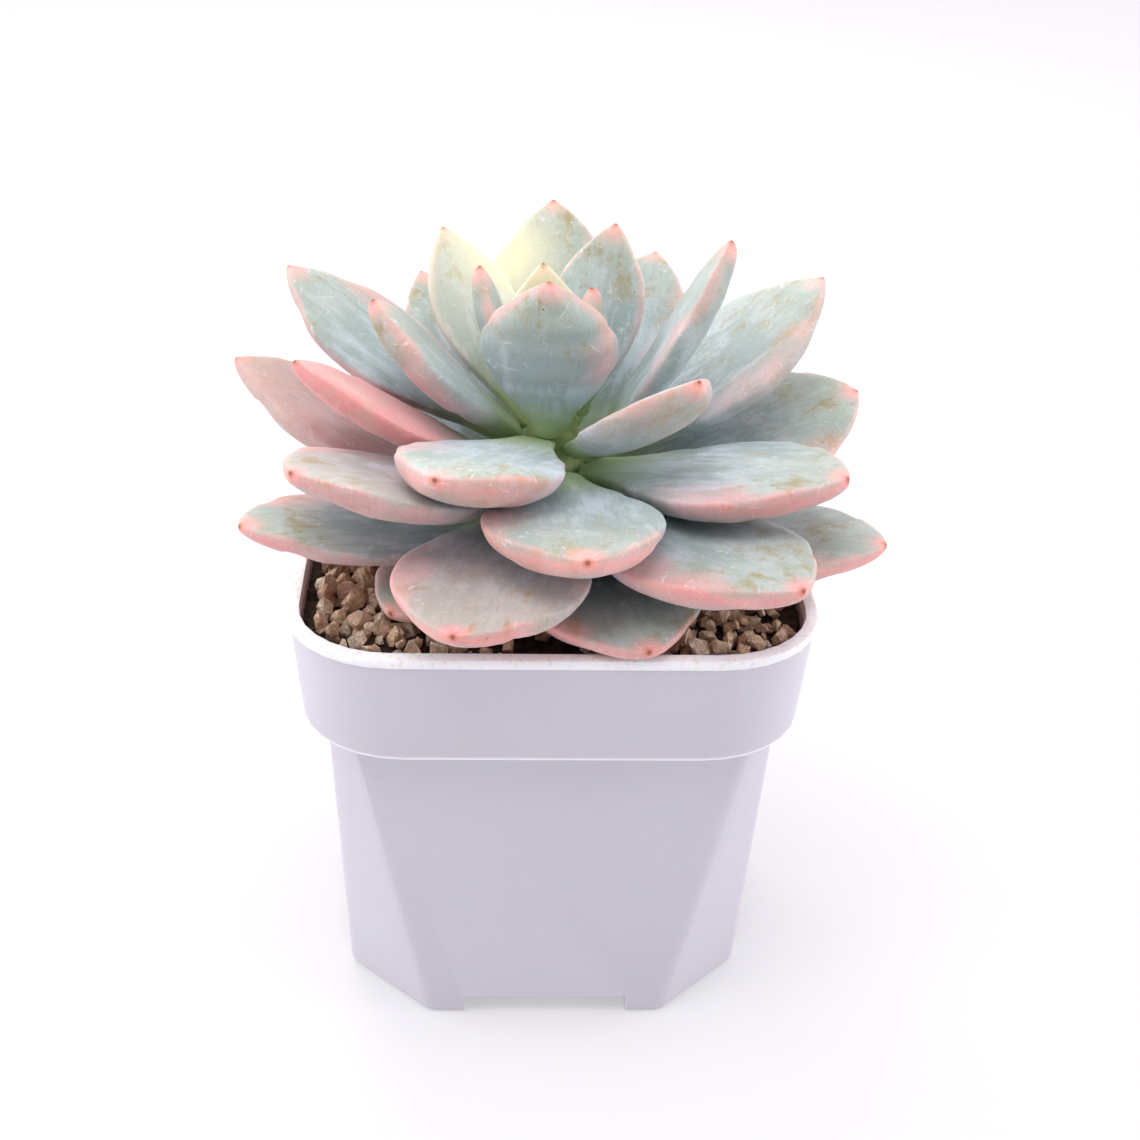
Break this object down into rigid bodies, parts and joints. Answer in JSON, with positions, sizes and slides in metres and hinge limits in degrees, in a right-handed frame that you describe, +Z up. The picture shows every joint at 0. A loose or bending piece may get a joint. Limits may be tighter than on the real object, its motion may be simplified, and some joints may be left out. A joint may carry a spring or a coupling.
{
  "type": "potted succulent",
  "caption": "Rosette succulent with thick blue-green leaves and pink margins, in a white square plastic nursery pot topped with tan grit.",
  "frame": {"origin": "on the table, under the middle of the pot", "axes": "+Z up out of the pot, +X and +Y along the pot's sides, and -Y is the front, where the lowest leaf hangs over the rim"},
  "size_m": [0.0941, 0.0976, 0.115],
  "materials": {
    "white_plastic": "satin moulded polypropylene",
    "potting_mix": "dark damp peat and bark",
    "tan_grit": "dry porous fired clay grains",
    "stem_skin": "smooth young green stem",
    "leaf_skin": "smooth waxy bloom, pink at the margins"
  },
  "bodies": {
    "root": {"grit_bed": "tan_grit", "leaf_01": "leaf_skin", "leaf_02": "leaf_skin", "leaf_03": "leaf_skin", "leaf_04": "leaf_skin", "leaf_05": "leaf_skin", "leaf_06": "leaf_skin", "leaf_07": "leaf_skin", "leaf_08": "leaf_skin", "leaf_09": "leaf_skin", "leaf_10": "leaf_skin", "leaf_11": "leaf_skin", "leaf_12": "leaf_skin", "leaf_13": "leaf_skin", "leaf_14": "leaf_skin", "leaf_15": "leaf_skin", "leaf_16": "leaf_skin", "leaf_17": "leaf_skin", "leaf_18": "leaf_skin", "leaf_19": "leaf_skin", "leaf_20": "leaf_skin", "leaf_21": "leaf_skin", "leaf_22": "leaf_skin", "leaf_23": "leaf_skin", "leaf_24": "leaf_skin", "leaf_25": "leaf_skin", "leaf_26": "leaf_skin", "leaf_27": "leaf_skin", "leaf_28": "leaf_skin", "leaf_29": "leaf_skin", "leaf_30": "leaf_skin", "leaf_31": "leaf_skin", "leaf_32": "leaf_skin", "leaf_33": "leaf_skin", "pot": "white_plastic", "potting_mix": "potting_mix", "stem": "stem_skin"}
  },
  "joints": []
}
